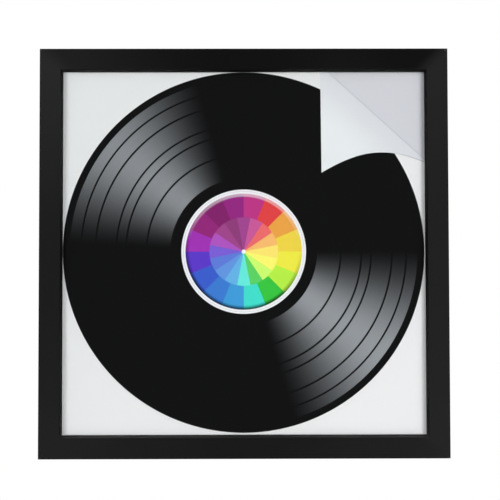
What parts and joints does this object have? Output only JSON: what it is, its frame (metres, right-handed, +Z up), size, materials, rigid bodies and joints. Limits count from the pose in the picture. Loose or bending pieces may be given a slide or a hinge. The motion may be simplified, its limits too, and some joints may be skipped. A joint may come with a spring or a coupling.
{
  "type": "record album frame",
  "caption": "Square black wall frame with glass and a printed insert for a 12 inch record sleeve, closed at the back by turn buttons.",
  "frame": {"origin": "the sawtooth hanger's centre notch, where the wall nail bears", "axes": "+Z up, -Y out of the glass towards the viewer, +Y to the wall, +X to the right seen from the front"},
  "size_m": [0.34, 0.0261, 0.34],
  "materials": {
    "satin_black": "wood moulding, smooth satin black paint",
    "glass": "clear flat picture glass",
    "printed_card": "coated white card, printed with a picture of a black record and a coloured label",
    "plain_card": "plain pale grey card",
    "corrugated_card": "brown corrugated card",
    "hardboard": "brown hardboard",
    "zinc": "bright zinc plate on pressed steel",
    "brass_plate": "brass plate on pressed steel",
    "rubber": "dark grey rubber"
  },
  "bodies": {
    "frame": {"rail_top": "satin_black", "rail_right": "satin_black", "rail_bottom": "satin_black", "rail_left": "satin_black", "v_nail_top_right": "zinc", "v_nail_bottom_right": "zinc", "v_nail_bottom_left": "zinc", "v_nail_top_left": "zinc", "glass_pane": "glass", "printed_insert": "printed_card", "plain_card": "plain_card", "filler_card": "corrugated_card", "backing_board": "hardboard", "button_screw_top_1": "zinc", "button_screw_top_2": "zinc", "button_screw_right_1": "zinc", "button_screw_right_2": "zinc", "button_screw_bottom_1": "zinc", "button_screw_bottom_2": "zinc", "button_screw_left_1": "zinc", "button_screw_left_2": "zinc", "sawtooth_hanger": "brass_plate", "hanger_nail_left": "brass_plate", "hanger_nail_right": "brass_plate", "wall_bumper_left": "rubber", "wall_bumper_right": "rubber"},
    "turn_button_top_1": {"turn_button_top_1": "zinc"},
    "turn_button_top_2": {"turn_button_top_2": "zinc"},
    "turn_button_right_1": {"turn_button_right_1": "zinc"},
    "turn_button_right_2": {"turn_button_right_2": "zinc"},
    "turn_button_bottom_1": {"turn_button_bottom_1": "zinc"},
    "turn_button_bottom_2": {"turn_button_bottom_2": "zinc"},
    "turn_button_left_1": {"turn_button_left_1": "zinc"},
    "turn_button_left_2": {"turn_button_left_2": "zinc"}
  },
  "joints": [
    {"name": "turn_button_top_1_swivel", "type": "hinge", "parent": "frame", "child": "turn_button_top_1", "pos_m": [-0.09, -0.0013, 0.00215], "axis": [0, 1, 0], "range_deg": [-90, 90]},
    {"name": "turn_button_top_2_swivel", "type": "hinge", "parent": "frame", "child": "turn_button_top_2", "pos_m": [0.09, -0.0013, 0.00215], "axis": [0, 1, 0], "range_deg": [-90, 90]},
    {"name": "turn_button_right_1_swivel", "type": "hinge", "parent": "frame", "child": "turn_button_right_1", "pos_m": [0.16475, -0.0013, -0.0726], "axis": [0, 1, 0], "range_deg": [-90, 90]},
    {"name": "turn_button_right_2_swivel", "type": "hinge", "parent": "frame", "child": "turn_button_right_2", "pos_m": [0.16475, -0.0013, -0.2526], "axis": [0, 1, 0], "range_deg": [-90, 90]},
    {"name": "turn_button_bottom_1_swivel", "type": "hinge", "parent": "frame", "child": "turn_button_bottom_1", "pos_m": [0.09, -0.0013, -0.32735], "axis": [0, 1, 0], "range_deg": [-90, 90]},
    {"name": "turn_button_bottom_2_swivel", "type": "hinge", "parent": "frame", "child": "turn_button_bottom_2", "pos_m": [-0.09, -0.0013, -0.32735], "axis": [0, 1, 0], "range_deg": [-90, 90]},
    {"name": "turn_button_left_1_swivel", "type": "hinge", "parent": "frame", "child": "turn_button_left_1", "pos_m": [-0.16475, -0.0013, -0.2526], "axis": [0, 1, 0], "range_deg": [-90, 90]},
    {"name": "turn_button_left_2_swivel", "type": "hinge", "parent": "frame", "child": "turn_button_left_2", "pos_m": [-0.16475, -0.0013, -0.0726], "axis": [0, 1, 0], "range_deg": [-90, 90]}
  ]
}
